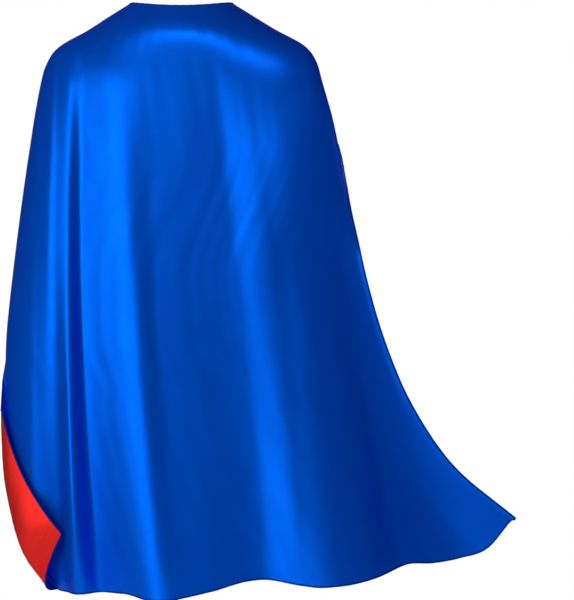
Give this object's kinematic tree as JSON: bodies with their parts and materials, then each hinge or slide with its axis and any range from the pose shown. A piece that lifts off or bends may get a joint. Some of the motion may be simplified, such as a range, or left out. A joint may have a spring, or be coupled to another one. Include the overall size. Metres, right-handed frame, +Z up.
{
  "type": "superhero cape",
  "caption": "Child's reversible satin costume cape, flared, with rolled edges, a turned-back corner and a hook-and-loop closure at the throat.",
  "frame": {"origin": "middle of the neck opening, level with the back neckline", "axes": "+Z up the standing wearer's back, +Y the way the wearer faces, +X the wearer's right"},
  "size_m": [0.6109, 0.1673, 0.7043],
  "materials": {
    "outer_satin": "glossy polyester satin, royal blue",
    "lining_satin": "glossy polyester satin, bright red",
    "rolled_seam": "turned satin edge, royal blue",
    "tab_satin": "doubled polyester satin, royal blue",
    "loop_tape": "soft napped loop tape, dark blue",
    "hook_tape": "moulded nylon hook tape, dark blue",
    "thread": "polyester sewing thread, blue",
    "label_tape": "woven satin tape, white, blank"
  },
  "bodies": {
    "shoulders": {"outer_panel_yoke": "outer_satin", "lining_yoke": "lining_satin", "neckline_seam": "rolled_seam", "left_shoulder_edge_seam": "rolled_seam", "right_shoulder_edge_seam": "rolled_seam", "left_closure_tab": "tab_satin", "loop_patch": "loop_tape", "loop_patch_stitching": "thread", "care_label": "label_tape"},
    "drape": {"outer_panel_drape": "outer_satin", "lining_drape": "lining_satin", "hem_seam": "rolled_seam", "left_side_edge_seam": "rolled_seam", "right_side_edge_seam": "rolled_seam"},
    "corner": {"outer_panel_corner": "outer_satin", "lining_corner": "lining_satin", "corner_front_edge_seam": "rolled_seam", "corner_hem_seam": "rolled_seam"},
    "closure_flap": {"right_closure_tab": "tab_satin", "hook_patch": "hook_tape", "hook_patch_stitching": "thread"}
  },
  "joints": [
    {"name": "back_swing", "type": "hinge", "parent": "shoulders", "child": "drape", "pos_m": [0, -0.01, -0.05], "axis": [-1, 0, 0], "range_deg": [0, 60]},
    {"name": "corner_unfold", "type": "hinge", "parent": "drape", "child": "corner", "pos_m": [-0.2005, -0.027, -0.6], "axis": [0.2641, 0, -0.9645], "range_deg": [0, 110]},
    {"name": "throat_opening", "type": "hinge", "parent": "shoulders", "child": "closure_flap", "pos_m": [0.0297, 0.0464, -0.0235], "axis": [0, 0, -1], "range_deg": [0, 110]}
  ]
}
